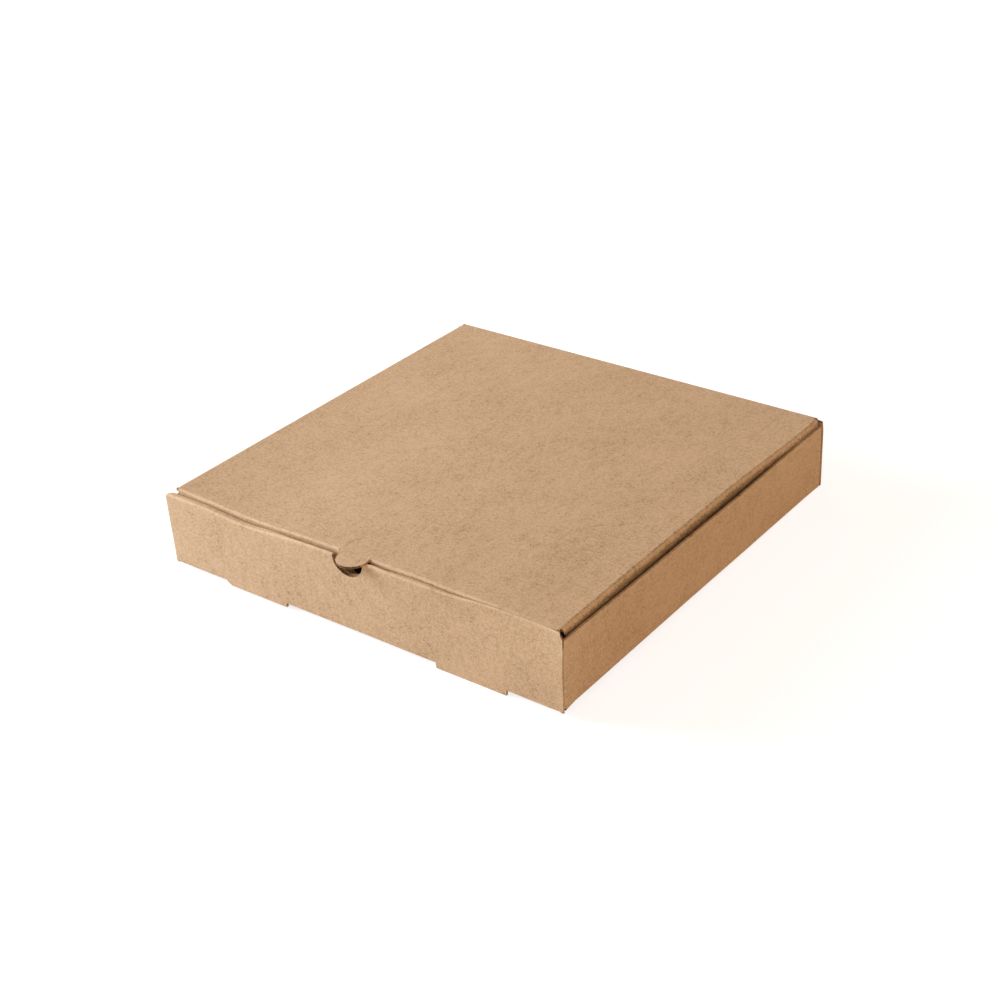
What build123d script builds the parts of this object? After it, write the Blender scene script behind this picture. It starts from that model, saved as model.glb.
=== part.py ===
"""A plain pizza box: one die-cut sheet of thin brown corrugated board, folded up.

The frame is in millimetres, +Z up, with the front wall towards -Y. The origin is at the middle of
the bottom of the closed box's bounding box, so the two tongues under the front wall stand on z = 0.
The sheet is two solids, base_tray and lid, which part along the crease that the lid swings on.
"""

import os

from build123d import *

# Board
board = 1.5  # thickness of the corrugated board
layer_gap = 0.15  # air between two layers of the sheet that lie against each other
crease_inner = 0.5  # inside radius of a scored fold
rolled_inner = 1.5  # inside radius of the lid's softer side folds

# Tray
box_width = 305.0  # outside, left to right: a twelve inch box
box_depth = 305.0  # outside, front to back
front_height = 50.0  # front wall, above the underside of the floor
side_drop = 4.3  # side walls' tops, below the front wall's top
roll_taper = 4.2  # how far the front wall's inner layer stops short of each side
notch_radius = 12.4  # thumb notch in the front wall
tab_length = 42.0  # corner tabs of the side walls
tab_corner = 9.0  # radius at a corner tab's free end
tab_lift = 0.8  # air between a corner tab and the floor

# Slots in the floor behind the front crease, and the tabs that lock into them
slot_width = 51.0
slot_centres = (-81.5, 87.5)  # from the middle of the front wall
slot_clearance = 0.1  # behind a lock tab
lock_side_clearance = 1.0  # at each end of a lock tab
lock_recess = 1.2  # how far a lock tab stops above the tongue in front of it
lock_corner = 1.2  # radius at a lock tab's lower corners

# Lid
lid_play_left = 4.75  # between the left side wall and the lid's flap
lid_play_right = 1.75  # the lid sits nearer to the right side wall
lid_clearance = 0.4  # between the front wall's inner layer and the lid's front fold
lid_gap = 0.3  # between the lid's underside and the walls' tops
tuck_depth = 32.0  # front flap, below the lid's upper face
tuck_clearance = 1.092  # between the front flap's lower edge and the wall that it swings past
tuck_inset = 4.5  # how far the front flap stops short of the lid's sides
tuck_splay = 6.0  # how much each end of the front flap slants in towards its lower edge
tuck_corner = 16.0  # radius at the front flap's lower corners
corner_relief = 0.8  # side folds start this far behind the lid's front fold
flap_lift = 10.3  # side flaps' lower edges, above the floor
flap_front_relief = 6.0  # side flap's front end, behind the lid's front fold
flap_back_relief = 7.0  # side flap's back end, in front of the hinge
hinge_relief = 3.5  # side folds end this far in front of the hinge
hinge_round = 1.0  # radius along the lid's back edge
flap_splay = 12.0  # how much each end of a side flap slants in towards its lower edge
flap_corner = 8.0  # radius at a side flap's lower corners
thumb_radius = 12.5  # half-round thumb tab, cut out of the front flap
thumb_lead = 0.5  # its centre, in front of the lid's front fold
thumb_root = 4.0  # how far behind the fold its cut ends

# Places worked out from those sizes
crease_mid = crease_inner + board / 2
crease_outer = crease_inner + board
rolled_mid = rolled_inner + board / 2
rolled_outer = rolled_inner + board
layer_pitch = board + layer_gap
roll_depth = 3 * board + 2 * layer_gap
slot_reach = roll_depth + slot_clearance
tongue_drop = slot_reach - board
lid_front_inset = roll_depth + lid_clearance
thumb_overhang = thumb_radius + thumb_lead - lid_front_inset

half_width = box_width / 2
front_y = -(box_depth - thumb_overhang) / 2
back_y = front_y + box_depth
floor_under = tongue_drop
floor_top = floor_under + board
floor_mid = floor_under + board / 2
front_top = floor_under + front_height
side_top = front_top - side_drop
lid_under = front_top + lid_gap
lid_top = lid_under + board
lid_mid = lid_top - board / 2
back_top = lid_under - lid_gap

outer_y = front_y + board / 2
tab_y = outer_y + layer_pitch
inner_y = tab_y + layer_pitch
back_mid_y = back_y - board / 2
back_tab_y = back_mid_y - layer_pitch
side_x = half_width - board / 2
lock_tip = lock_recess
lock_root = floor_top + 2 * board

lid_left = -half_width + board + lid_play_left
lid_right = half_width - board - lid_play_right
lid_middle = (lid_left + lid_right) / 2
lid_front_y = front_y + lid_front_inset
lid_fold_y = lid_front_y + board / 2
tuck_low = lid_top - tuck_depth
tuck_swing = tuck_depth**2 / (2 * (box_depth - lid_front_inset))
tuck_lean = tuck_swing + tuck_clearance
flap_low = floor_top + flap_lift
flap_front_y = lid_front_y + flap_front_relief
flap_back_y = back_y - flap_back_relief
reach = box_width + box_depth  # longer than any cut needs

# Front wall, floor and back wall: one strip of board, bent over the double front wall,
# down its outer face, back along the floor and up the back wall
with BuildPart() as base_tray:
    with BuildSketch(Plane.YZ.offset(-half_width)):
        with BuildLine():
            FilletPolyline(
                (inner_y, floor_top + layer_gap),
                (inner_y, front_top - board / 2),
                (outer_y, front_top - board / 2),
                (outer_y, floor_mid),
                (back_mid_y, floor_mid),
                (back_mid_y, back_top),
                radius=crease_mid,
            )
        trace(line_width=board)
    extrude(amount=box_width)

    # The floor stops at the side creases, where the side walls take over
    with BuildSketch(Plane.XY.offset(floor_under - board)):
        for side in (-1, 1):
            with Locations((side * half_width, (front_y + back_y) / 2)):
                Rectangle(2 * crease_outer, box_depth - 2 * crease_outer)
    extrude(amount=3 * board, mode=Mode.SUBTRACT)

    # The roll over the top narrows to the inner layer, which stands between the side walls
    with BuildSketch(Plane.XY.offset(front_top - crease_outer)):
        for side in (-1, 1):
            with BuildLine():
                Polyline(
                    (side * half_width, front_y),
                    (side * (half_width - roll_taper), front_y + roll_depth),
                    (side * (half_width - roll_taper), front_y + 2 * roll_depth),
                    (side * (half_width + 1), front_y + 2 * roll_depth),
                    (side * (half_width + 1), front_y),
                    close=True,
                )
            make_face()
    extrude(amount=2 * crease_outer, mode=Mode.SUBTRACT)
    with BuildSketch(Plane.XY.offset(floor_top)):
        for side in (-1, 1):
            with Locations((side * half_width, inner_y)):
                Rectangle(2 * roll_taper, board + layer_gap)
    extrude(amount=front_height, mode=Mode.SUBTRACT)

    # Slots: the front crease stops there, so each slot's own material stays in the plane of
    # the outer layer as a tongue below the floor
    with BuildSketch(Plane.XY.offset(floor_under)):
        with Locations(*[(x, front_y + slot_reach / 2) for x in slot_centres]):
            Rectangle(slot_width, slot_reach)
    extrude(amount=crease_outer, mode=Mode.SUBTRACT)
    with BuildSketch(Plane.XY):
        with Locations(*[(x, outer_y) for x in slot_centres]):
            Rectangle(slot_width, board)
    extrude(amount=floor_top + crease_outer)

    # Lock tabs: the inner layer's lower edge goes down into the slots
    with BuildSketch(Plane.XZ.offset(-(inner_y + board / 2))):
        with Locations(*[(x, (lock_tip + lock_root) / 2) for x in slot_centres]):
            RectangleRounded(
                slot_width - 2 * lock_side_clearance, lock_root - lock_tip, lock_corner
            )
    extrude(amount=board)

    # Thumb notch through both layers
    with BuildSketch(Plane.XZ.offset(-(front_y + 2 * roll_depth))):
        with Locations((0, front_top)):
            Circle(notch_radius)
    extrude(amount=3 * roll_depth, mode=Mode.SUBTRACT)

    # Beside the lid's crease the back wall steps down to the height of the side walls
    with BuildSketch(Plane.XZ.offset(-back_y)):
        for corner, crease_end in ((-half_width, lid_left), (half_width, lid_right)):
            with BuildLine():
                Polyline(
                    (corner, side_top),
                    (crease_end, back_top),
                    (corner, back_top),
                    close=True,
                )
            make_face()
    extrude(amount=board, mode=Mode.SUBTRACT)

# Side wall with its two corner tabs, made for the right side and mirrored to the left. The front
# tab lies between the two layers of the front wall, and the back tab inside the back wall.
with BuildPart() as side_wall:
    with BuildSketch(Plane.XY.offset(floor_top + tab_lift)):
        with BuildLine():
            FilletPolyline(
                (half_width - tab_length, tab_y),
                (side_x, tab_y),
                (side_x, back_tab_y),
                (half_width - tab_length, back_tab_y),
                radius=crease_mid,
            )
        trace(line_width=board)
    extrude(amount=side_top - floor_top - tab_lift)
    tab_ends = side_wall.edges().filter_by(Axis.Y).group_by(Axis.X)[0]
    fillet(tab_ends, radius=tab_corner)

    # Lower edge of the wall, and its crease with the floor
    with BuildSketch(Plane.XZ.offset(-(back_tab_y - crease_mid))):
        with BuildLine():
            FilletPolyline(
                (side_x, side_top),
                (side_x, floor_mid),
                (half_width - crease_outer, floor_mid),
                radius=crease_mid,
            )
        trace(line_width=board)
    extrude(amount=back_tab_y - tab_y - 2 * crease_mid)

with base_tray:
    add(side_wall.part)
    add(mirror(side_wall.part, about=Plane.YZ, mode=Mode.PRIVATE))

# Lid panel from the hinge to the front fold, and the front flap tucked behind the front wall
with BuildPart() as lid:
    with BuildSketch(Plane.YZ.offset(lid_left + rolled_outer)):
        with BuildLine():
            FilletPolyline(
                (back_y, lid_mid),
                (lid_fold_y, lid_mid),
                (lid_fold_y + tuck_lean, tuck_low),
                radius=crease_mid,
            )
        trace(line_width=board)
    extrude(amount=lid_right - lid_left - 2 * rolled_outer)
    with BuildSketch(Plane.XZ.offset(-(back_y + board))):
        with BuildLine():
            Polyline(
                (lid_left, lid_top + board),
                (lid_left, lid_under),
                (lid_left + tuck_inset, lid_under),
                (lid_left + tuck_inset + tuck_splay, tuck_low - board),
                (lid_right - tuck_inset - tuck_splay, tuck_low - board),
                (lid_right - tuck_inset, lid_under),
                (lid_right, lid_under),
                (lid_right, lid_top + board),
                close=True,
            )
        tuck_outline = make_face()
        fillet(tuck_outline.vertices().group_by(Axis.Y)[0], radius=tuck_corner)
    extrude(amount=reach, mode=Mode.INTERSECT)
    hinge_edge = lid.edges().filter_by(Axis.X).group_by(Axis.Y)[-1].sort_by(Axis.Z)[-1]
    fillet(hinge_edge, radius=hinge_round)

# Side flaps, folded down softly along both sides of the lid
with BuildPart() as side_flaps:
    with BuildSketch(Plane.XZ.offset(-back_y)):
        for flap_x, fold_end in (
            (lid_left + board / 2, lid_left + rolled_outer),
            (lid_right - board / 2, lid_right - rolled_outer),
        ):
            with BuildLine():
                FilletPolyline(
                    (flap_x, flap_low),
                    (flap_x, lid_mid),
                    (fold_end, lid_mid),
                    radius=rolled_mid,
                )
            trace(line_width=board)
    extrude(amount=back_y - lid_front_y)
    with BuildSketch(Plane.YZ.offset(lid_left - board)):
        with BuildLine():
            Polyline(
                (lid_front_y + corner_relief, lid_top + board),
                (lid_front_y + corner_relief, lid_under),
                (flap_front_y, lid_under - rolled_inner),
                (flap_front_y + flap_splay, flap_low),
                (flap_back_y - flap_splay, flap_low),
                (flap_back_y, lid_under - rolled_inner),
                (back_y - hinge_relief, lid_under),
                (back_y - hinge_relief, lid_top + board),
                close=True,
            )
        flap_outline = make_face()
        fillet(flap_outline.vertices().group_by(Axis.Y)[0], radius=flap_corner)
    extrude(amount=lid_right - lid_left + 2 * board, mode=Mode.INTERSECT)

# Thumb tab: its half round is cut out of the front flap and stays in the plane of the lid
with lid:
    with BuildSketch(Plane.XZ.offset(-(lid_front_y + thumb_root))):
        with Locations((lid_middle, lid_mid - thumb_lead)):
            Circle(thumb_radius)
            Rectangle(2 * thumb_radius, 2 * board, align=(Align.CENTER, Align.MIN))
    extrude(amount=thumb_root + board, mode=Mode.SUBTRACT)
    with BuildSketch(Plane.XY.offset(lid_under)):
        with Locations((lid_middle, lid_front_y - thumb_lead)):
            Circle(thumb_radius)
            Rectangle(2 * thumb_radius, thumb_radius, align=(Align.CENTER, Align.MIN))
    extrude(amount=board)
    add(side_flaps.part)

os.makedirs("parts", exist_ok=True)
base_tray.part.label = "base_tray"
export_step(base_tray.part, "parts/base_tray.step")
lid.part.label = "lid"
export_step(lid.part, "parts/lid.step")
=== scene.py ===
"""Looks of a plain brown pizza box: the die-cut corrugated sheet is drawn flat and folded up.

Lengths in this file are millimetres until a mesh is made. The flat sheet's coordinates are u, from
left to right, and v, from front to back along the board, which is also the way the flutes run.
"""

import math

import bpy
import numpy as np
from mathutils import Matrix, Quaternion, Vector
from mathutils.geometry import delaunay_2d_cdt


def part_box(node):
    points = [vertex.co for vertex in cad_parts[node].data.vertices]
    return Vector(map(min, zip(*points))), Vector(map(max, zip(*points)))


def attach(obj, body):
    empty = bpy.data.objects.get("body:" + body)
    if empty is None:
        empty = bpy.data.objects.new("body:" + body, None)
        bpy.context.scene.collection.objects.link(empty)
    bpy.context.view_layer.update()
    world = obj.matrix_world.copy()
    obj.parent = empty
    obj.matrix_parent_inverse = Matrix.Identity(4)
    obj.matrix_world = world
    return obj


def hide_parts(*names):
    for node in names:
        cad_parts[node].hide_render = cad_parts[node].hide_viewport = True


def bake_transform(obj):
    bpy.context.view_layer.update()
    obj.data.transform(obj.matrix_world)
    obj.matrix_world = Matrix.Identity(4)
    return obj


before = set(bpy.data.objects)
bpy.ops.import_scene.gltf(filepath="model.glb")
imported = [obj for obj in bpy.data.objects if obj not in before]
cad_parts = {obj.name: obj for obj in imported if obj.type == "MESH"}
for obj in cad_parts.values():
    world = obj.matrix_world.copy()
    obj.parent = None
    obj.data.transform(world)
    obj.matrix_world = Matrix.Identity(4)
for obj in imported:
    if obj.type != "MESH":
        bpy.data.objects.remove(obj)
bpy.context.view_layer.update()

MM = 0.001
tray_low, tray_high = (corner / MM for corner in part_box("base_tray"))
lid_low, lid_high = (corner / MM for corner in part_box("lid"))

# Board and creases
BOARD = 1.5
LAYER_GAP = 0.15
CREASE_MID = 0.8
CREASE_OUTER = 1.55
LINER = 0.24  # thickness of one facing of the board
MEDIUM = 0.2  # thickness of the fluted paper between the facings
FLUTE_PITCH = 3.3
WAVE_SHARE = 0.96  # how much of the space between the facings the fluted paper's wave fills
WAVE_INSET = 0.08  # how far in from a cut edge the fluted paper ends
HINGE_LEAN = 3.0  # length beside the hinge over which the faces lean to meet the crease strip
CUT_RECESS = 1.4  # how deep the flutes' hollows are modelled at a cut edge
CLOSED_RECESS = 0.35  # the same where the cut runs along the flutes
PITCH = BOARD + LAYER_GAP

# Tray
HALF_WIDTH = tray_high.x
FRONT_Y = tray_low.y
BACK_Y = tray_high.y
FRONT_TOP = tray_high.z
TONGUE_DROP = 3.4
FLOOR_TOP = TONGUE_DROP + BOARD
FLOOR_MID = TONGUE_DROP + BOARD / 2
SIDE_TOP = FRONT_TOP - 4.3
OUTER_Y = FRONT_Y + BOARD / 2
TAB_Y = OUTER_Y + PITCH
INNER_Y = TAB_Y + PITCH
BACK_TAB_Y = BACK_Y - BOARD / 2 - PITCH
SIDE_X = HALF_WIDTH - BOARD / 2
ROLL_TAPER = 4.2
FRONT_SAG = 0.95
TAB_LENGTH = 42.0
TAB_CORNER = 9.0
TAB_LIFT = 0.8
TAPER_DROPS = {-1: 0.3, 1: 2.0}  # how far below the roll the front wall has its full width
BACK_CORNER_RISE = 2.0  # how far above the side walls the back wall has its full width
NOTCH_RADIUS = 11.9
NOTCH_X = -0.9
SLOT_HALF = 25.5
SLOT_CENTRES = (-81.5, 87.5)
SLOT_REACH = 4.9
SLANT_START = 1.8  # where the left tongue's end starts to slant
LOCK_HALF = 24.5
LOCK_TIP = 1.2
LOCK_CORNER = 1.2

# Lid
LID_LEFT = lid_low.x
LID_RIGHT = lid_high.x
LID_TOP = lid_high.z
LID_MID = LID_TOP - BOARD / 2
LID_FRONT_Y = FRONT_Y + 5.2
FLAP_LOW = lid_low.z
TUCK_LOW = LID_TOP - 32.0
TUCK_LEAN = 2.8
TUCK_INSET = 4.5
TUCK_SPLAY = 6.0
TUCK_CORNER = 16.0
TUCK_SHOULDER = 9.0  # how far below the front bend the front flap has narrowed
FLAP_ENDS = (LID_FRONT_Y + 6.0, BACK_Y - 7.0)
FLAP_SHOULDER = 4.0
FLAP_SPLAY = 12.0
FLAP_CORNER = 8.0
THUMB_RADIUS = 10.1
THUMB_FLARE = 4.4  # how much wider the thumb tab's left side gets towards the lid
THUMB_X = (LID_LEFT + LID_RIGHT) / 2 + 1.0
THUMB_LEAD = 3.7

# How far the box departs from its nominal shape
FRONT_LEAN_IN = 3.4
FRONT_RISE = 1.6
FRONT_DIPS = ((2.6, 69, 26), (0.9, 228, 14), (-0.7, 190, 18), (-1.2, 168.5, 3.5))  # drop, place, width
LEFT_DIP = 0.5
ROLL_DROP = 2.3
LEFT_LEAN_OUT = 0.95
LEFT_FLARE = 0.4
SAG_STEP = 0.3
BACK_CORNER_SAG = 0.6
RIGHT_EDGE_SAG = 0.35
RIGHT_WALL_OUT = 1.1
LEFT_BULGE, RIGHT_BULGE = -0.8, 1.3
WALL_WAVE = 0.2
LID_CORNER_LIFT = 1.75
LID_WAVE = 0.3
LID_DROP = 0.35
LID_DIP = 2.1
LID_STEP = 0.8
LID_RIGHT_FALL = 0.6
LID_BACK_LEFT = 0.45
LID_BACK_FALL = 2.2  # over LID_BACK_SPAN
LID_BACK_SPAN = 300.0
LID_LEFT_TURN = 0.6
LID_LEFT_FORWARD = 0.9
LID_BACK_RIGHT_OUT = 2.6

# How finely the flat sheet is divided
BEND_STEPS = 6
GRID = 9.0
CUT_STEP = FLUTE_PITCH / 8
LINE_STEP = 3.0
OUTLINE_STEP = 6.0
WELD_STEPS = 500  # to the millimetre: points that round to the same step are one


def ramp(x, start, end):
    """0 up to start, 1 from end on, and a soft rise between them."""
    x = np.clip((x - start) / (end - start), 0.0, 1.0)
    return x * x * (3 - 2 * x)


def hump(x, centre, width):
    return np.exp(-(((x - centre) / width) ** 2))


class Path:
    """A line of straight runs and bends. Each run is (length, turn), and the turn is an angle."""

    def __init__(self, start, heading, runs):
        self.length = [0.0]
        self.point = [np.array(start, float)]
        self.heading = [heading]
        self.bend = []
        for length, turn in runs:
            self.bend.append(turn / length)
            point, angle = self.step(len(self.bend) - 1, length)
            self.length.append(self.length[-1] + length)
            self.point.append(point)
            self.heading.append(angle)

    def step(self, run, distance):
        bend, start = self.bend[run], self.heading[run]
        angle = start + bend * distance
        if bend == 0:
            move = distance * np.array([np.cos(start), np.sin(start)])
        else:
            move = np.array([np.sin(angle) - np.sin(start), np.cos(start) - np.cos(angle)]) / bend
        return self.point[run] + move, angle

    def at(self, distances):
        """Points and headings at these distances along the path."""
        flat = np.ravel(distances)
        runs = np.clip(np.searchsorted(self.length, flat, side="right") - 1, 0, len(self.bend) - 1)
        found = [self.step(run, d - self.length[run]) for run, d in zip(runs, flat)]
        return np.array([p for p, _ in found]), np.array([a for _, a in found])


def rounded(corners):
    """The closed outline through corners of (u, v, radius)."""
    points = []
    count = len(corners)
    for i, (u, v, radius) in enumerate(corners):
        here = np.array([u, v])
        if radius == 0:
            points.append(here)
            continue
        before = np.array(corners[i - 1][:2]) - here
        after = np.array(corners[(i + 1) % count][:2]) - here
        before, after = before / np.linalg.norm(before), after / np.linalg.norm(after)
        half = math.acos(np.clip(before @ after, -1, 1)) / 2
        middle = (before + after) / np.linalg.norm(before + after)
        centre = here + middle * radius / math.sin(half)
        first = here + before * radius / math.tan(half) - centre
        last = here + after * radius / math.tan(half) - centre
        sweep = math.pi - 2 * half
        steps = max(3, math.ceil(radius * sweep / 0.8))
        for k in range(steps + 1):
            t = k / steps
            points.append(
                centre
                + (math.sin((1 - t) * sweep) * first + math.sin(t * sweep) * last) / math.sin(sweep)
            )
    return points


def arc(centre, radius, start, end, steps=48):
    angles = np.linspace(math.radians(start), math.radians(end), steps + 1)
    return [np.array(centre) + radius * np.array([math.cos(a), math.sin(a)]) for a in angles]


def divided(points, closed, step_u, step_v):
    """The line through points with more points put in, no further apart than the two steps."""
    ends = points[1:] + points[:1] if closed else points[1:]
    dense = []
    for a, b in zip(points, ends):
        du, dv = np.abs(np.array(b) - np.array(a))
        pieces = max(1, math.ceil(du / step_u), math.ceil(dv / step_v))
        dense += [np.array(a) + (np.array(b) - np.array(a)) * k / pieces for k in range(pieces)]
    if not closed:
        dense.append(np.array(points[-1]))
    return dense


class Blank:
    """A flat sheet: closed loops for its outline and holes, cuts through it, and folds."""

    def __init__(self, outline, holes=()):
        self.loops = [divided(loop, True, CUT_STEP, OUTLINE_STEP) for loop in (outline, *holes)]
        self.lines = []

    def cut(self, points):
        self.lines.append(divided(points, False, CUT_STEP, LINE_STEP))

    def fold_rows(self, start, end, left, right):
        for v in np.linspace(start, end, BEND_STEPS + 1):
            self.lines.append(divided([(left, v), (right, v)], False, GRID, LINE_STEP))

    def fold_columns(self, start, end, low, high):
        for u in np.linspace(start, end, BEND_STEPS + 3):
            self.lines.append(divided([(u, low), (u, high)], False, LINE_STEP, GRID))

    def inside(self, points):
        """Which points lie in the outline and in no hole."""
        odd = np.zeros(len(points), bool)
        u, v = points[:, 0], points[:, 1]
        for loop in self.loops:
            a = np.array(loop)
            b = np.roll(a, -1, axis=0)
            for (ua, va), (ub, vb) in zip(a, b):
                if va == vb:
                    continue
                crosses = (v > va) != (v > vb)
                odd ^= crosses & (u < ua + (v - va) * (ub - ua) / (vb - va))
        return odd

    def triangles(self):
        """Flat points and the triangles between them."""
        points, edges = [], []
        closed_lines = [(loop, True) for loop in self.loops]
        for line, closed in closed_lines + [(line, False) for line in self.lines]:
            first = len(points)
            points += list(line)
            edges += [(first + i, first + i + 1) for i in range(len(line) - 1)]
            if closed:
                edges.append((len(points) - 1, first))
        edge_points = np.array(points)
        low, high = edge_points.min(0), edge_points.max(0)
        for u in np.arange(low[0] + GRID / 2, high[0], GRID):
            for v in np.arange(low[1] + GRID / 2, high[1], GRID):
                if np.abs(edge_points - (u, v)).max(1).min() > 2.5:
                    points.append(np.array([u, v]))
        made = delaunay_2d_cdt([Vector(p) for p in points], edges, [], 0, 1e-4, True)
        flat = np.array([tuple(p) for p in made[0]])
        faces = np.array(made[2])
        faces = faces[self.inside(flat[faces].mean(1))]
        return flat, faces


def folded_mesh(name, blank, fold, warp, seam):
    """Folds a blank into a board of real thickness with fluted cut edges.

    fold(points, centres) gives the place, the outward direction and how creased each point is.
    seam(points) marks the points of an edge that meets the crease strip and isn't cut.
    """
    flat, faces = blank.triangles()
    corners = flat[faces].reshape(-1, 2)
    centres = np.repeat(flat[faces].mean(1), 3, axis=0)
    place, out, crease = fold(corners, centres)
    keys = np.round(place * WELD_STEPS).astype(np.int64)
    _, first, weld = np.unique(keys, axis=0, return_index=True, return_inverse=True)
    place, out, crease, flat = place[first], out[first], crease[first], corners[first]
    faces = weld.reshape(-1, 3)
    faces = faces[(faces != np.roll(faces, 1, axis=1)).all(1)]
    place = place + warp(place)

    # Every triangle is turned so that it faces outwards
    a, b, c = (place[faces[:, i]] for i in range(3))
    facing = np.einsum("ij,ij->i", np.cross(b - a, c - a), out[faces].sum(1))
    faces[facing < 0] = faces[facing < 0][:, ::-1]

    edges = {}
    for face in faces:
        for i in range(3):
            edges[(face[i], face[(i + 1) % 3])] = True
    border = [edge for edge in edges if (edge[1], edge[0]) not in edges]
    count = len(place)
    half = BOARD / 2
    outer = place + out * half
    inner = place - out * half

    # Direction out of the sheet at each border point, in its own plane
    away = np.zeros((count, 3))
    for i, j in border:
        side = np.cross(place[j] - place[i], out[i] + out[j])
        side /= max(np.linalg.norm(side), 1e-9)
        away[i] += side
        away[j] += side
    away /= np.maximum(np.linalg.norm(away, axis=1), 1e-9)[:, None]

    # Where a cut runs along the flutes, the nearest one closes the hollows
    recess = np.full(count, CUT_RECESS)
    for i, j in border:
        du, dv = np.abs(flat[j] - flat[i])
        recess[[i, j]] = CUT_RECESS - (CUT_RECESS - CLOSED_RECESS) * dv / max(du + dv, 1e-9)

    # Cut edge: two facings, and the wave of the medium between two rows of hollows
    swing = (half - LINER - MEDIUM / 2) * WAVE_SHARE
    wave = swing * np.sin(2 * math.pi * flat[:, 0] / FLUTE_PITCH)
    inside_facing = np.full(count, half - LINER)
    flush, shallow = np.zeros(count), np.full(count, WAVE_INSET)
    profile = [
        (inside_facing, flush),
        (inside_facing, recess),
        (wave + MEDIUM / 2, recess),
        (wave + MEDIUM / 2, shallow),
        (wave - MEDIUM / 2, shallow),
        (wave - MEDIUM / 2, recess),
        (-inside_facing, recess),
        (-inside_facing, flush),
    ]
    border_points = sorted({i for edge in border for i in edge})
    index = {point: k for k, point in enumerate(border_points)}
    rows = [place[border_points] + out[border_points] * offset[border_points][:, None]
            - away[border_points] * depth[border_points][:, None] for offset, depth in profile]
    vertices = np.concatenate([outer, inner, *rows])
    uv = np.concatenate([flat, flat] + [flat[border_points]] * len(profile))
    crease = np.concatenate([crease, crease] + [crease[border_points]] * len(profile))

    polygons = [tuple(face) for face in faces]
    polygons += [tuple(face[::-1] + count) for face in faces]
    raw = [0] * len(polygons)
    width = len(border_points)
    on_seam = seam(flat)
    for i, j in border:
        if on_seam[i] and on_seam[j]:
            polygons.append((j, i, i + count, j + count))
            raw.append(1)
            continue
        left = [i] + [2 * count + k * width + index[i] for k in range(len(profile))] + [i + count]
        right = [j] + [2 * count + k * width + index[j] for k in range(len(profile))] + [j + count]
        # Cuts across the flutes take the darker raw_edge paper, partly painted shade for their open
        # hollows
        along_flutes = max(recess[i], recess[j]) < 2 * CLOSED_RECESS
        for k in range(len(left) - 1):
            polygons.append((right[k], left[k], left[k + 1], right[k + 1]))
            raw.append(0 if along_flutes else 1)
    return make_object(name, vertices, polygons, uv, crease, raw)


def make_object(name, vertices, polygons, uv, crease, raw):
    mesh = bpy.data.meshes.new(name)
    mesh.from_pydata([tuple(v * MM) for v in vertices], [], polygons)
    layer = mesh.uv_layers.new(name="sheet")
    loops = np.zeros(len(mesh.loops), np.int64)
    mesh.loops.foreach_get("vertex_index", loops)
    layer.data.foreach_set("uv", (np.array(uv)[loops] * MM).astype(np.float32).ravel())
    # The crease attribute drives the painted highlight along bends and the painted shade on the lid's
    # right flap
    creased = mesh.attributes.new("crease", "FLOAT", "POINT")
    creased.data.foreach_set("value", np.array(crease, np.float32))
    mesh.materials.append(kraft)
    mesh.materials.append(raw_edge)
    mesh.polygons.foreach_set("material_index", np.array(raw, np.int32))
    mesh.polygons.foreach_set("use_smooth", np.ones(len(polygons), bool))
    mesh.update()
    mark_sharp_edges(mesh)
    mesh.validate()
    made = bpy.data.objects.new(name, mesh)
    bpy.context.scene.collection.objects.link(made)
    return made


def mark_sharp_edges(mesh):
    """Edges sharper than a step of a bend stay crisp."""
    limit = math.cos(math.radians(32))
    normals = np.zeros(len(mesh.polygons) * 3)
    mesh.polygons.foreach_get("normal", normals)
    normals = normals.reshape(-1, 3)
    loop_edges = np.zeros(len(mesh.loops), np.int64)
    mesh.loops.foreach_get("edge_index", loop_edges)
    loop_faces = np.repeat(
        np.arange(len(mesh.polygons)), [polygon.loop_total for polygon in mesh.polygons]
    )
    order = np.argsort(loop_edges, kind="stable")
    edge_ids, starts, counts = np.unique(loop_edges[order], return_index=True, return_counts=True)
    sharp = np.ones(len(mesh.edges), bool)
    pairs = counts == 2
    first = loop_faces[order[starts[pairs]]]
    second = loop_faces[order[starts[pairs] + 1]]
    sharp[edge_ids[pairs]] = np.einsum("ij,ij->i", normals[first], normals[second]) < limit
    mesh.attributes.new("sharp_edge", "BOOLEAN", "EDGE").data.foreach_set("value", sharp)


# Materials

def node(tree, kind, **inputs):
    made = tree.nodes.new(kind)
    for key, value in inputs.items():
        made.inputs[key].default_value = value
    return made


def map_range(tree, value, low, high, to_low, to_high):
    spread = tree.nodes.new("ShaderNodeMapRange")
    sockets = ("From Min", "From Max", "To Min", "To Max")
    for socket, number in zip(sockets, (low, high, to_low, to_high)):
        spread.inputs[socket].default_value = number
    tree.links.new(value, spread.inputs["Value"])
    return spread.outputs["Result"]


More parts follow.
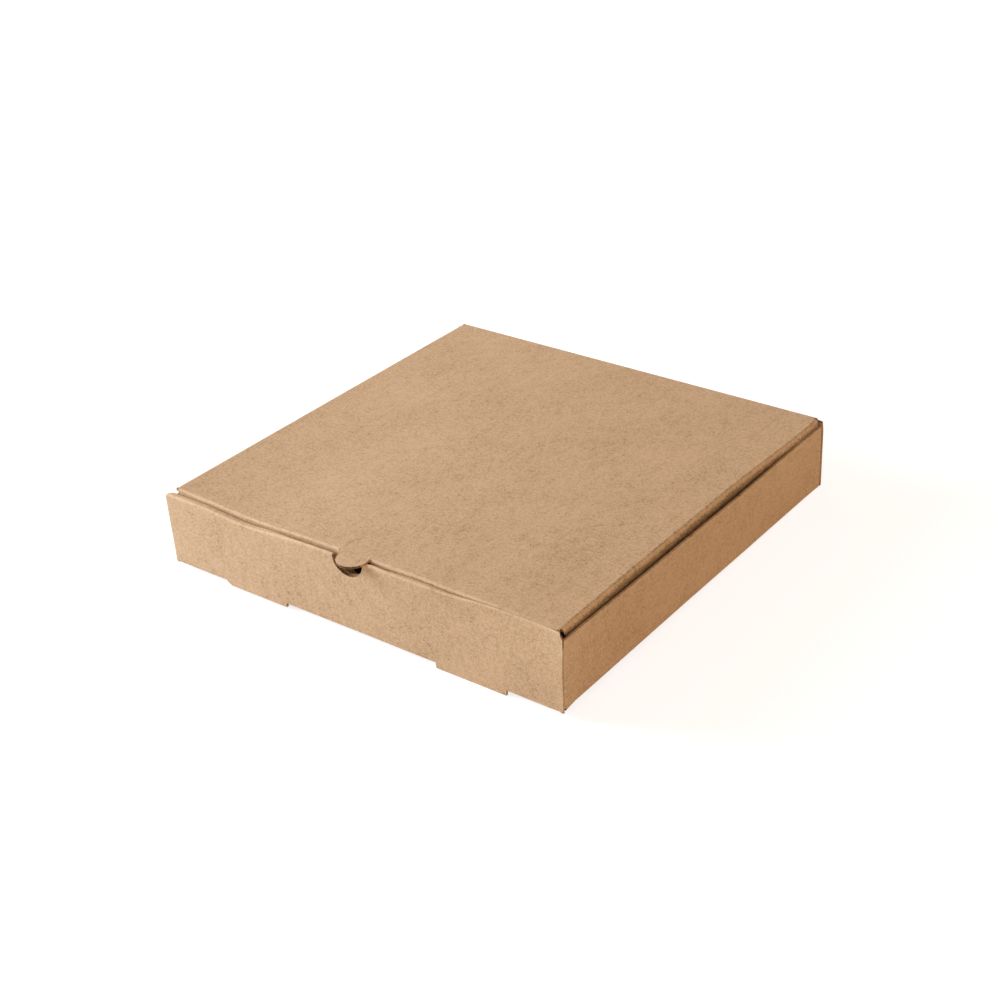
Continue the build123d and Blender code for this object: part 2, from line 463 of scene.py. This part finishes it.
def paper(name, light, dark, roughness):
    """Brown paper: clouds, fibres, flecks and specks on a colour between light and dark. The crease
    attribute paints bends lighter, a painted highlight together with paler worn board, and its values
    below zero are painted shade.
    """
    material = bpy.data.materials.new(name)
    material.use_nodes = True
    tree = material.node_tree
    link = tree.links.new
    shader = tree.nodes["Principled BSDF"]
    shader.inputs["Roughness"].default_value = roughness
    shader.inputs["Specular IOR Level"].default_value = 0.25
    place = tree.nodes.new("ShaderNodeUVMap")
    place.uv_map = "sheet"

    def noise(scale, detail, stretch=(1, 1, 1)):
        mapping = tree.nodes.new("ShaderNodeMapping")
        mapping.inputs["Scale"].default_value = stretch
        link(place.outputs["UV"], mapping.inputs["Vector"])
        texture = node(tree, "ShaderNodeTexNoise", Scale=scale, Detail=detail, Roughness=0.6)
        link(mapping.outputs["Vector"], texture.inputs["Vector"])
        return texture.outputs["Fac"]

    def scaled(value, low, high, to_low, to_high):
        return map_range(tree, value, low, high, to_low, to_high)

    def total(*values):
        result = values[0]
        for value in values[1:]:
            plus = tree.nodes.new("ShaderNodeMath")
            plus.operation = "ADD"
            link(result, plus.inputs[0])
            link(value, plus.inputs[1])
            result = plus.outputs["Value"]
        return result

    clouds = noise(22, 3, (1.0, 0.7, 1))
    fibres = noise(170, 4, (1.0, 0.6, 1))
    flecks = noise(430, 2)
    specks = noise(950, 2)
    crease = tree.nodes.new("ShaderNodeAttribute")
    crease.attribute_name = "crease"
    tone = total(
        scaled(clouds, 0.3, 0.7, 0.5, 0.79),
        scaled(fibres, 0.3, 0.7, -0.2, 0.2),
        scaled(flecks, 0.35, 0.65, -0.22, 0.22),
        scaled(specks, 0.35, 0.65, -0.34, 0.34),
        # Painted light: bends are painted lighter as a painted highlight together with paler worn
        # board, and crease values below zero are painted shade
        scaled(crease.outputs["Fac"], -3, 1, -0.9, 0.3),
    )
    colours = tree.nodes.new("ShaderNodeValToRGB")
    colours.color_ramp.elements[0].color = (*(0.6 * c for c in dark), 1)
    colours.color_ramp.elements[1].color = (*light, 1)
    colours.color_ramp.elements.new(0.2).color = (*dark, 1)
    link(tone, colours.inputs["Fac"])
    link(colours.outputs["Color"], shader.inputs["Base Color"])

    # The flutes show through the facing as a very faint washboard
    washboard = node(tree, "ShaderNodeTexWave", Scale=2 * math.pi / (20 * FLUTE_PITCH * MM))
    washboard.bands_direction = "X"
    link(place.outputs["UV"], washboard.inputs["Vector"])
    height = total(
        scaled(washboard.outputs["Fac"], 0, 1, 0, 0.35),
        scaled(fibres, 0, 1, 0, 0.8),
        scaled(specks, 0, 1, 0, 0.5),
    )
    bump = node(tree, "ShaderNodeBump", Strength=0.35, Distance=0.0001)
    link(height, bump.inputs["Height"])
    link(bump.outputs["Normal"], shader.inputs["Normal"])
    return material


kraft = paper("kraft", (0.63, 0.471, 0.312), (0.455, 0.325, 0.194), 0.72)
# The cut edges' darker paper is partly the board's own cut edge and partly painted shade for the
# flutes' open hollows
raw_edge = paper("raw_edge", (0.33, 0.22, 0.12), (0.2, 0.13, 0.07), 0.85)


# Places along the tray's strip, from the lock tabs' tips to the hinge
QUARTER = CREASE_MID * math.pi / 2
INNER_RUN = FRONT_TOP - CREASE_OUTER - LOCK_TIP
ROLL_FLAT = INNER_Y - OUTER_Y - 2 * CREASE_MID
FRONT_RUN = FRONT_TOP - TONGUE_DROP - 2 * CREASE_OUTER
FLOOR_RUN = BACK_Y - FRONT_Y - 2 * CREASE_OUTER
HINGE_SEAM_Z = LID_TOP - CREASE_OUTER - BOARD / 2
BACK_RUN = HINGE_SEAM_Z - TONGUE_DROP - CREASE_OUTER
V_ROLL_IN = INNER_RUN
V_ROLL_FLAT = V_ROLL_IN + QUARTER
V_ROLL_OUT = V_ROLL_FLAT + ROLL_FLAT
V_FRONT_TOP = V_ROLL_OUT + QUARTER
V_FRONT_LOW = V_FRONT_TOP + FRONT_RUN
V_FLOOR = V_FRONT_LOW + QUARTER
V_FLOOR_END = V_FLOOR + FLOOR_RUN
V_BACK = V_FLOOR_END + QUARTER
V_HINGE = V_BACK + BACK_RUN
V_SLOT_END = V_FLOOR + SLOT_REACH - CREASE_OUTER
FLOOR_HALF = HALF_WIDTH - CREASE_OUTER
Y_TO_V = V_FLOOR - FRONT_Y - CREASE_OUTER

turn = math.pi / 2
strip_path = Path(
    (INNER_Y, LOCK_TIP),
    turn,
    [(INNER_RUN, 0), (QUARTER, turn), (ROLL_FLAT, 0), (QUARTER, turn), (FRONT_RUN, 0),
     (QUARTER, turn), (FLOOR_RUN, 0), (QUARTER, turn), (BACK_RUN, 0)],
)
wall_path = Path((FLOOR_HALF, FLOOR_MID), 0, [(QUARTER, turn), (SIDE_TOP, 0)])
WALL_START = TAB_Y + CREASE_MID
WALL_END = BACK_TAB_Y - CREASE_MID
TAB_RUN = TAB_LENGTH - CREASE_OUTER
tab_path = Path(
    (SIDE_X - CREASE_MID - TAB_RUN, TAB_Y),
    0,
    [(TAB_RUN, 0), (QUARTER, turn), (WALL_END - WALL_START, 0), (QUARTER, turn), (TAB_RUN, 0)],
)
TAB_ORIGIN = WALL_START - QUARTER - TAB_RUN
V_WALL_START = WALL_START + Y_TO_V
V_WALL_END = WALL_END + Y_TO_V
V_TAB_FRONT = TAB_ORIGIN + Y_TO_V
V_TAB_BACK = WALL_END + QUARTER + TAB_RUN + Y_TO_V
U_TAB_LOW = FLOOR_HALF + QUARTER + FLOOR_TOP + TAB_LIFT - TONGUE_DROP - CREASE_OUTER
U_SIDE_TOP = FLOOR_HALF + QUARTER + SIDE_TOP - TONGUE_DROP - CREASE_OUTER
HINGE_LEFT = LID_LEFT - 0.2
HINGE_RIGHT = LID_RIGHT - 0.3

# The two tongues: left end's slant, and how far above the tongues' plane each one stops
TONGUES = {SLOT_CENTRES[0]: (3.4, 1.3), SLOT_CENTRES[1]: (0.0, 0.4)}


def tray_blank():
    edge_v = FLOOR_TOP + LAYER_GAP - LOCK_TIP
    inner_half = HALF_WIDTH - ROLL_TAPER
    low_edge = [(-inner_half, edge_v, 0)]
    for centre in SLOT_CENTRES:
        low_edge += [
            (centre - LOCK_HALF, edge_v, 0),
            (centre - LOCK_HALF, 0, LOCK_CORNER),
            (centre + LOCK_HALF, 0, LOCK_CORNER),
            (centre + LOCK_HALF, edge_v, 0),
        ]
    low_edge.append((inner_half, edge_v, 0))

    def side_edge(side, hinge_end):
        """From the inner layer's end to the hinge, on the right for side 1 and the left for -1."""
        back_corner = V_BACK + SIDE_TOP + BACK_CORNER_RISE - TONGUE_DROP - CREASE_OUTER
        return [
            (side * inner_half, V_ROLL_IN, 0),
            (side * HALF_WIDTH, V_FRONT_TOP + TAPER_DROPS[side], 0),
            (side * HALF_WIDTH, V_FLOOR, 0),
            (side * FLOOR_HALF, V_FLOOR, 0),
            (side * FLOOR_HALF, V_WALL_START, 0),
            (side * U_TAB_LOW, V_WALL_START, 0),
            (side * U_TAB_LOW, V_TAB_FRONT, TAB_CORNER),
            (side * U_SIDE_TOP, V_TAB_FRONT, TAB_CORNER),
            (side * U_SIDE_TOP, V_TAB_BACK, TAB_CORNER),
            (side * U_TAB_LOW, V_TAB_BACK, TAB_CORNER),
            (side * U_TAB_LOW, V_WALL_END, 0),
            (side * FLOOR_HALF, V_WALL_END, 0),
            (side * FLOOR_HALF, V_FLOOR_END, 0),
            (side * HALF_WIDTH, V_FLOOR_END, 0),
            (side * HALF_WIDTH, back_corner, 0),
            (hinge_end, V_HINGE, 0),
        ]

    outline = rounded(low_edge + side_edge(1, HINGE_RIGHT) + side_edge(-1, HINGE_LEFT)[::-1])
    start = math.degrees(math.asin(CREASE_OUTER / NOTCH_RADIUS))
    inner_arc = arc((NOTCH_X, FRONT_TOP - LOCK_TIP), NOTCH_RADIUS, 180 + start, 360 - start)
    outer_arc = arc((NOTCH_X, V_FRONT_TOP - CREASE_OUTER), NOTCH_RADIUS, start, 180 - start)
    blank = Blank(outline, [inner_arc + outer_arc])
    for start_v in (V_ROLL_IN, V_ROLL_OUT, V_FRONT_LOW, V_FLOOR_END):
        half = HALF_WIDTH if start_v != V_ROLL_IN else HALF_WIDTH - ROLL_TAPER / 2
        blank.fold_rows(start_v, start_v + QUARTER, -half, half)
    for side in (-1, 1):
        blank.fold_columns(side * FLOOR_HALF, side * (FLOOR_HALF + QUARTER), V_WALL_START, V_WALL_END)
        for start_v in (V_WALL_START - QUARTER, V_WALL_END):
            blank.fold_rows(start_v, start_v + QUARTER, side * U_TAB_LOW, side * U_SIDE_TOP)
    for centre, (slant, _) in TONGUES.items():
        left, right = centre - SLOT_HALF, centre + SLOT_HALF
        blank.cut([(left, V_FRONT_LOW), (left, V_FRONT_LOW + SLANT_START),
                   (left + slant, V_SLOT_END), (right, V_SLOT_END), (right, V_FRONT_LOW)])
    return blank


def bend_share(heading):
    """1 in the middle of a bend, and 0 where the board is flat and square."""
    return np.abs(np.sin(2 * heading))


def fold_tray(points, centres):
    u, v = points.T
    line, heading = strip_path.at(v)
    place = np.stack([u, line[:, 0], line[:, 1]], 1)
    out = np.stack([0 * u, np.sin(heading), -np.cos(heading)], 1)
    # Bends get a painted highlight, together with paler worn board, from this crease value
    crease = bend_share(heading)

    # Near the hinge the outer face runs further up than the inner one, to meet the crease strip
    lean = np.clip((v - V_HINGE + HINGE_LEAN) / HINGE_LEAN, 0, 1)[:, None]
    out = out + lean * np.stack([0 * u, np.cos(heading), np.sin(heading)], 1)

    # Side walls and their corner tabs
    cu, cv = centres.T
    beside_floor = (np.abs(cu) > FLOOR_HALF) & (cv > V_WALL_START) & (cv < V_WALL_END)
    wall = beside_floor | (np.abs(cu) > U_TAB_LOW)
    side = np.sign(cu[wall])
    rise, rise_heading = wall_path.at(np.abs(u[wall]) - FLOOR_HALF)
    plan, plan_heading = tab_path.at(v[wall] - Y_TO_V - TAB_ORIGIN)
    place[wall] = np.stack([side * (plan[:, 0] + rise[:, 0] - SIDE_X), plan[:, 1], rise[:, 1]], 1)
    out[wall] = np.stack(
        [side * np.sin(rise_heading) * np.sin(plan_heading),
         -np.cos(plan_heading) * np.sin(rise_heading), -np.cos(rise_heading)], 1
    )
    crease[wall] = np.maximum(bend_share(rise_heading), bend_share(plan_heading))

    # Tongues stay in the plane of the front wall
    for centre, (_, stop) in TONGUES.items():
        tongue = (np.abs(cu - centre) < SLOT_HALF) & (cv > V_FRONT_LOW) & (cv < V_SLOT_END)
        if centre == SLOT_CENTRES[0]:
            tongue &= ~outside_slant(cu, cv)
        top = TONGUE_DROP + CREASE_OUTER
        share = (v[tongue] - V_FRONT_LOW) / (V_SLOT_END - V_FRONT_LOW)
        place[tongue, 1] = OUTER_Y
        place[tongue, 2] = top - share * (top - stop)
        out[tongue] = (0, -1, 0)
        crease[tongue] = 0
    return place, out, crease


def outside_slant(u, v):
    """Which points lie left of the left tongue's slanted end."""
    slant = TONGUES[SLOT_CENTRES[0]][0]
    start = V_FRONT_LOW + SLANT_START
    share = np.clip((v - start) / (V_SLOT_END - start), 0, 1)
    return u < SLOT_CENTRES[0] - SLOT_HALF + slant * share


def to_back(y):
    """0 at the tray's front and 1 at its back."""
    return np.clip((y - FRONT_Y) / (BACK_Y - FRONT_Y), 0, 1)


def warp_tray(place):
    """The small bends and leans of a hand-folded box."""
    x, y, z = place.T
    moved = np.zeros_like(place)
    from_left = x + HALF_WIDTH
    depth = y - FRONT_Y

    # The front wall's top leans in and stands a little higher towards its right end
    right_end = ramp(from_left, 185, 265) * (1 - 0.5 * ramp(from_left, 293, 305))
    high = ramp(z, 25, 50)
    outer_layer = np.clip(1 - depth / 4.05, 0, 1)
    both_layers = np.clip(1 - depth / 6.5, 0, 1)
    moved[:, 1] += FRONT_LEAN_IN * right_end * high * outer_layer
    moved[:, 2] += FRONT_RISE * right_end * high * both_layers
    in_front = 1 - ramp(depth, 6, 10)
    dip = sum(drop * hump(from_left, centre, width) for drop, centre, width in FRONT_DIPS)
    dip += LEFT_DIP * (1 - ramp(from_left, 90, 150))
    moved[:, 2] -= dip * ramp(z, 35, 50) * in_front
    rolled_back = ROLL_DROP * ramp(from_left, 86, 111) * (1 - ramp(from_left, 155, 220))
    moved[:, 2] -= rolled_back * ramp(z, 42, 51) * ramp(depth, 1.5, 4.5) * in_front

    # The front wall's left end leans out
    left_end = (1 - ramp(from_left, 0, 60)) * both_layers
    moved[:, 0] -= left_end * (LEFT_LEAN_OUT * ramp(z, 8, 48) + LEFT_FLARE * ramp(z, 50, 52))

    # The floor's front and right edges hang a little
    near_front = 1 - ramp(depth, 0, np.where(np.abs(x) > 148, 14, 60))
    low = 1 - ramp(z, 5, 35)
    sag = FRONT_SAG + SAG_STEP * (ramp(from_left, 150, 200) + ramp(from_left, 250, 300))
    moved[:, 2] -= sag * near_front * low
    moved[:, 2] -= BACK_CORNER_SAG * ramp(x, 140, 152) * ramp(depth, 288, 302) * low
    right_middle = ramp(depth, 0, 25) * (1 - ramp(depth, 190, 250)) * ramp(x, 130, 150)
    moved[:, 2] -= RIGHT_EDGE_SAG * right_middle * low

    # The right side spreads towards the back, and the side walls aren't quite straight
    to_right = ramp(x, 90, 150) * (1 - ramp(z, 48, 54))
    moved[:, 0] += RIGHT_WALL_OUT * ramp(depth, 110, 300) * to_right
    walls = ramp(np.abs(x), 140, 150) * ramp(depth, 0, 25) * ramp(BACK_Y - y, 0, 25)
    walls *= ramp(z, 10, 50)
    arch = np.sin(math.pi * to_back(y)) ** 2
    moved[:, 0] += np.where(x > 0, RIGHT_BULGE, LEFT_BULGE) * arch * walls
    moved[:, 2] += WALL_WAVE * np.sin(2 * math.pi * depth / 120 + 1) * walls

    # The back wall's top follows the lid's back edge
    at_back = ramp(y, BACK_Y - 6, BACK_Y - 2) * ramp(z, 20, 50)
    past_lid = ramp(np.abs(x), HALF_WIDTH - 3.5, HALF_WIDTH - 0.5)
    moved[:, 2] += lid_sag(x, y) * at_back * (1 - 0.8 * past_lid)
    return moved


def at_left(x):
    """1 along the lid's left edge, fading within some 30 mm."""
    return np.exp(-np.maximum(x + HALF_WIDTH - 5.5, 0) / 14)


def lid_sag(x, y):
    """How far the lid stands above its nominal plane."""
    from_left = x + HALF_WIDTH
    back = to_back(y)
    corner = LID_CORNER_LIFT * (1 - back) * at_left(x)
    wave = LID_WAVE * np.cos(2 * math.pi * (from_left - 232) / 190) - LID_DROP
    dip = LID_DIP * hump(from_left, 72, 38) + LID_STEP * ramp(from_left, 203, 223)
    dip += LID_RIGHT_FALL * ramp(from_left, 255, 302)
    front = (wave - dip) * (1 - back) ** 2
    rear = (LID_BACK_LEFT - LID_BACK_FALL * from_left / LID_BACK_SPAN) * ramp(back, 0, 1)
    return corner + front + rear


def warp_lid(place):
    """The lid's sag, and the places where its edges stand off to the left, front and right."""
    x, y, z = place.T
    moved = np.zeros_like(place)
    back = to_back(y)
    left = at_left(x)
    moved[:, 2] += lid_sag(x, y)
    moved[:, 0] -= LID_LEFT_TURN * left * (1 - 2 * back)
    front_top = ramp(LID_FRONT_Y + 40 - y, 0, 40) * ramp(z, LID_TOP - 3.5, LID_TOP - 0.5)
    moved[:, 1] -= LID_LEFT_FORWARD * left * front_top
    back_right = ramp(x, 132, 144) * ramp(back, 0.6, 0.95) * ramp(LID_SEAM_Y - y, -0.1, 0.9)
    moved[:, 0] += LID_BACK_RIGHT_OUT * back_right
    return moved


# Lid
LID_SEAM_Y = BACK_Y - CREASE_OUTER - BOARD / 2
LID_TURN = turn + math.atan(TUCK_LEAN / (LID_MID - TUCK_LOW))
SETBACK = CREASE_MID * math.tan(LID_TURN / 2)
LID_RUN = LID_SEAM_Y - (LID_FRONT_Y + BOARD / 2) - SETBACK
LID_BEND = CREASE_MID * LID_TURN
TUCK_RUN = math.hypot(TUCK_LEAN, LID_MID - TUCK_LOW) - SETBACK
lid_path = Path((LID_SEAM_Y, LID_MID), math.pi, [(LID_RUN, 0), (LID_BEND, LID_TURN), (TUCK_RUN, 0)])
V_THUMB = LID_SEAM_Y - LID_FRONT_Y + THUMB_LEAD
SIDE_BACK = 0.3  # where the side folds start, along the board from the hinge
SIDE_FRONT = LID_RUN - 0.3

# The left side is creased sharply, and the right one turns down over a softer edge
SIDE_BENDS = {
    -1: [(QUARTER, -turn)],
    1: [(0.6, -0.35 * turn), (1.9, -0.55 * turn), (1.0, -0.2 * turn)],
}
SIDE_EDGES = {-1: LID_LEFT - 1.1, 1: LID_RIGHT}
EARS = {-1: 1.3, 1: 0.7}  # how far the front fold runs past the side folds' start
# How much of the painted bend highlight the side flaps' bends get
FLAP_CREASE = 0.4
SCORE_SHADE = -1.0  # painted shade: how dark the scored groove along the right fold is painted, on the crease scale
PAINTED_FLAP_SHADE = -2.4  # painted shade: the same for the band below it, where the flap turns down into the gap
bend_lengths = {side: sum(length for length, _ in bends) for side, bends in SIDE_BENDS.items()}
bend_ends = {side: Path((0, LID_MID), 0, bends).point[-1] for side, bends in SIDE_BENDS.items()}
SIDE_FOLDS = {side: SIDE_EDGES[side] - side * (bend_ends[side][0] + BOARD / 2) for side in (-1, 1)}
flap_paths = {
    side: Path((0, LID_MID), 0, bends + [(bend_ends[side][1] - FLAP_LOW, 0)])
    for side, bends in SIDE_BENDS.items()
}


def lid_blank():
    def side_edge(side):
        """From the hinge to the front flap's lower edge."""
        fold = SIDE_FOLDS[side]
        end = HINGE_RIGHT if side == 1 else HINGE_LEFT
        flap_u = fold + side * bend_lengths[side]
        tip_u = fold + side * flap_paths[side].length[-1]
        tuck_u = (LID_RIGHT if side == 1 else LID_LEFT) - side * TUCK_INSET
        front_v, back_v = LID_SEAM_Y - FLAP_ENDS[0], LID_SEAM_Y - FLAP_ENDS[1]
        below_bend = LID_RUN + LID_BEND
        return [
            (end, 0, 0),
            (end, SIDE_BACK - 0.2, 0),
            (fold, SIDE_BACK, 0),
            (flap_u, SIDE_BACK + 0.3, 0),
            (flap_u + side * FLAP_SHOULDER, back_v, 0),
            (tip_u, back_v + FLAP_SPLAY, FLAP_CORNER),
            (tip_u, front_v - FLAP_SPLAY, FLAP_CORNER),
            (flap_u + side * FLAP_SHOULDER, front_v, 0),
            (flap_u, SIDE_FRONT - 1.2, 0),
            (fold, SIDE_FRONT, 0),
            (fold, LID_RUN, 0),
            (fold + side * EARS[side], LID_RUN, 0),
            (fold + side * EARS[side], below_bend, 0),
            (tuck_u, below_bend + TUCK_SHOULDER, 0),
            (tuck_u - side * TUCK_SPLAY, below_bend + TUCK_RUN, TUCK_CORNER),
        ]

    blank = Blank(rounded(side_edge(1) + side_edge(-1)[::-1]))
    blank.fold_rows(LID_RUN, LID_RUN + LID_BEND, SIDE_FOLDS[-1] - EARS[-1], SIDE_FOLDS[1] + EARS[1])
    for side, fold in SIDE_FOLDS.items():
        blank.fold_columns(fold, fold + side * bend_lengths[side], SIDE_BACK, SIDE_FRONT)
        blank.fold_columns(fold - side * 1.2, fold - side * 0.8, SIDE_BACK, SIDE_FRONT)
    half_round = arc((THUMB_X, V_THUMB), THUMB_RADIUS, 180, 0)
    start = (THUMB_X - THUMB_RADIUS - THUMB_FLARE, LID_RUN)
    blank.cut([start, *half_round, (THUMB_X + THUMB_RADIUS, LID_RUN)])
    return blank


def fold_lid(points, centres):
    u, v = points.T
    cu, cv = centres.T
    line, heading = lid_path.at(v)
    place = np.stack([u, line[:, 0], line[:, 1]], 1)
    out = np.stack([0 * u, np.sin(heading), -np.cos(heading)], 1)
    lean = np.clip(1 - v / HINGE_LEAN, 0, 1)[:, None]
    out = out - lean * np.stack([0 * u, np.cos(heading), np.sin(heading)], 1)
    # The front bend gets a painted highlight, together with paler worn board, from this crease value
    crease = bend_share(heading) * (v < LID_RUN + LID_BEND)

    for side, fold in SIDE_FOLDS.items():
        flap = (side * (cu - fold) > 0) & (cv > SIDE_BACK - 0.1) & (cv < SIDE_FRONT + 0.1)
        drop, drop_heading = flap_paths[side].at(side * (u[flap] - fold))
        place[flap] = np.stack([fold + side * drop[:, 0], LID_SEAM_Y - v[flap], drop[:, 1]], 1)
        out[flap] = np.stack([-side * np.sin(drop_heading), 0 * v[flap], np.cos(drop_heading)], 1)
        crease[flap] = bend_share(drop_heading) * FLAP_CREASE
        if side == 1:
            # Painted shade: the band below the right flap's bend is painted darker where the flap
            # turns down into the gap by the side wall, and the scored groove on the fold is painted as
            # a dark line
            past_fold = u - fold
            painted_shade_band = ramp(past_fold, 0.4, 3.2) * (1 - ramp(past_fold, 5, 10))
            crease[flap] += PAINTED_FLAP_SHADE * painted_shade_band[flap]
            crease[np.abs(past_fold) < 0.5] = SCORE_SHADE

    # The thumb tab stays in the plane of the lid
    to_lid = np.clip((V_THUMB - cv) / (V_THUMB - LID_RUN), 0, 1)
    flare = np.where(cu < THUMB_X, THUMB_FLARE, 0) * to_lid
    round_part = np.hypot(cu - THUMB_X, np.maximum(cv - V_THUMB, 0)) < THUMB_RADIUS + flare
    thumb = round_part & (cv > LID_RUN)
    place[thumb] = np.stack([u[thumb], LID_SEAM_Y - v[thumb], np.full(thumb.sum(), LID_MID)], 1)
    out[thumb] = (0, 0, 1)
    crease[thumb] = 0
    return place, out, crease


# Crease strip along the hinge

def hinge_strip():
    """The scored fold between the back wall and the lid, with flat ends."""
    centre = np.array([BACK_Y - CREASE_OUTER, LID_TOP - CREASE_OUTER])
    steps = 10
    angles = np.linspace(0, turn, steps + 1)
    outer = [centre + CREASE_OUTER * np.array([math.cos(a), math.sin(a)]) for a in angles]
    inner_radius = CREASE_OUTER - BOARD
    inner = [centre + np.array([inner_radius, -BOARD * k / 2]) for k in (2, 1)]
    inner += [centre + inner_radius * np.array([math.cos(a), math.sin(a)])
              for a in np.linspace(0, turn, steps - 3)]
    inner += [centre + np.array([-BOARD * k / 2, inner_radius]) for k in (1, 2)]
    columns = np.linspace(HINGE_LEFT, HINGE_RIGHT, 40)
    ring = outer + inner[::-1]
    vertices, uv, crease = [], [], []
    for x in columns:
        for k, (y, z) in enumerate(ring):
            share = min(k, len(ring) - 1 - k) / steps
            vertices.append(np.array([x, y, z + float(lid_sag(x, BACK_Y))]))
            uv.append((x, V_HINGE + 4 * share))
            # Painted highlight, with paler worn board, strongest in the middle of the crease
            crease.append(math.sin(math.pi * share))
    size = len(ring)
    polygons, raw = [], []
    for i in range(len(columns) - 1):
        for k in range(size):
            after = (k + 1) % size
            here, there = i * size, (i + 1) * size
            polygons.append((here + k, there + k, there + after, here + after))
            raw.append(0)
    last = (len(columns) - 1) * size
    for k in range(steps):
        polygons.append((k, k + 1, size - 2 - k, size - 1 - k))
        polygons.append((last + size - 1 - k, last + size - 2 - k, last + k + 1, last + k))
        raw += [1, 1]
    return make_object("hinge_crease", np.array(vertices), polygons, uv, crease, raw)


def tray_seam(flat):
    return flat[:, 1] > V_HINGE - 0.01


def lid_seam(flat):
    return flat[:, 1] < 0.01


tray_board = folded_mesh("tray_board", tray_blank(), fold_tray, warp_tray, tray_seam)
lid_board = folded_mesh("lid_board", lid_blank(), fold_lid, warp_lid, lid_seam)
hinge_crease = hinge_strip()

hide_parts("base_tray")
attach(tray_board, "tray")
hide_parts("lid")
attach(lid_board, "cover")

# The strip falls towards the right with the lid, so the line it bends along is tilted the same way
middle_sag = float(lid_sag(0, BACK_Y))
sag_slope = float(lid_sag(1, BACK_Y)) - middle_sag
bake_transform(hinge_crease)


# Floor, light and camera

def area_light(name, place, size, power, color):
    """A round lamp that faces the box."""
    data = bpy.data.lights.new(name, "AREA")
    data.shape = "DISK"
    data.size = size
    data.energy = power
    data.color = color
    made = bpy.data.objects.new(name, data)
    made.location = place
    made.rotation_mode = "QUATERNION"
    made.rotation_quaternion = (-Vector(place)).to_track_quat("-Z", "Y")
    bpy.context.scene.collection.objects.link(made)


def white_floor():
    """A white floor that the box stands on: tongues at the front, back edge of the base behind."""
    size = 6.0
    front_z = -(FRONT_SAG + SAG_STEP) * MM
    slope = (TONGUE_DROP * MM - front_z) / ((BACK_Y - FRONT_Y) * MM)
    mesh = bpy.data.meshes.new("floor")
    corners = [(x, y, front_z + (y - FRONT_Y * MM) * slope) for x, y in
               ((-size, -size), (size, -size), (size, size), (-size, size))]
    mesh.from_pydata(corners, [], [(0, 1, 2, 3)])
    floor = bpy.data.objects.new("floor", mesh)
    bpy.context.scene.collection.objects.link(floor)
    material = bpy.data.materials.new("floor")
    material.use_nodes = True
    tree = material.node_tree
    tree.nodes.clear()
    bounce = node(tree, "ShaderNodeBsdfDiffuse", Color=(0.7, 0.7, 0.7, 1))
    seen = node(tree, "ShaderNodeBsdfDiffuse", Color=(0.4, 0.4, 0.4, 1))
    glow = node(tree, "ShaderNodeEmission", Color=(1, 1, 1, 1))
    position = tree.nodes.new("ShaderNodeNewGeometry")
    distance = tree.nodes.new("ShaderNodeVectorMath")
    distance.operation = "LENGTH"
    tree.links.new(position.outputs["Position"], distance.inputs[0])
    # The floor glows a little less near the box than further than 1.8 m from it
    strength = map_range(tree, distance.outputs["Value"], 0.7, 1.8, 0.8, 1.0)
    tree.links.new(strength, glow.inputs["Strength"])
    both = tree.nodes.new("ShaderNodeAddShader")
    choose = tree.nodes.new("ShaderNodeMixShader")
    rays = tree.nodes.new("ShaderNodeLightPath")
    output = tree.nodes.new("ShaderNodeOutputMaterial")
    tree.links.new(seen.outputs[0], both.inputs[0])
    tree.links.new(glow.outputs[0], both.inputs[1])
    tree.links.new(rays.outputs["Is Camera Ray"], choose.inputs[0])
    tree.links.new(bounce.outputs[0], choose.inputs[1])
    tree.links.new(both.outputs[0], choose.inputs[2])
    tree.links.new(choose.outputs[0], output.inputs["Surface"])
    mesh.materials.append(material)


def studio_world():
    world = bpy.data.worlds.new("studio")
    world.use_nodes = True
    tree = world.node_tree
    tree.nodes.clear()
    light = node(tree, "ShaderNodeBackground", Color=(1, 1, 1, 1), Strength=0.12)
    white = node(tree, "ShaderNodeBackground", Color=(1, 1, 1, 1), Strength=1.0)
    choose = tree.nodes.new("ShaderNodeMixShader")
    rays = tree.nodes.new("ShaderNodeLightPath")
    output = tree.nodes.new("ShaderNodeOutputWorld")
    tree.links.new(rays.outputs["Is Camera Ray"], choose.inputs[0])
    tree.links.new(light.outputs[0], choose.inputs[1])
    tree.links.new(white.outputs[0], choose.inputs[2])
    tree.links.new(choose.outputs[0], output.inputs["Surface"])
    bpy.context.scene.world = world


def photo_camera():
    place = Vector((0.6118, -0.7840, 0.5846))
    azimuth, elevation, roll = (math.radians(a) for a in (37.96, 29.51, -3.15))
    ahead = Vector((-math.sin(azimuth) * math.cos(elevation), math.cos(azimuth) * math.cos(elevation),
                    -math.sin(elevation)))
    camera = bpy.data.objects.new("camera", bpy.data.cameras.new("camera"))
    camera.data.lens = 62.64
    camera.data.sensor_width = 36.0
    camera.location = place
    camera.rotation_mode = "QUATERNION"
    camera.rotation_quaternion = ahead.to_track_quat("-Z", "Y") @ Quaternion((0, 0, 1), roll)
    bpy.context.scene.collection.objects.link(camera)
    bpy.context.scene.camera = camera


white_floor()
studio_world()
photo_camera()
warm = (1.0, 0.652, 0.395)
area_light("window", (-1.6, -0.6, 0.6), 1.0, 57, (0.916, 0.941, 1.0))
area_light("front", (0.1, -1.9, 0.9), 1.2, 6, warm)
area_light("front_right", (1.1, -1.6, 0.8), 1.0, 7.3, warm)
area_light("right", (1.5, 0.1, 0.5), 1.2, 8.2, warm)
area_light("back", (0.5, 1.9, 0.45), 1.2, 10.8, warm)
area_light("back_left", (-0.9, 0.9, 1.0), 0.9, 3.9, warm)
area_light("top", (0.0, 0.1, 1.9), 1.4, 2.8, warm)

view = bpy.context.scene.view_settings
view.view_transform = "Standard"
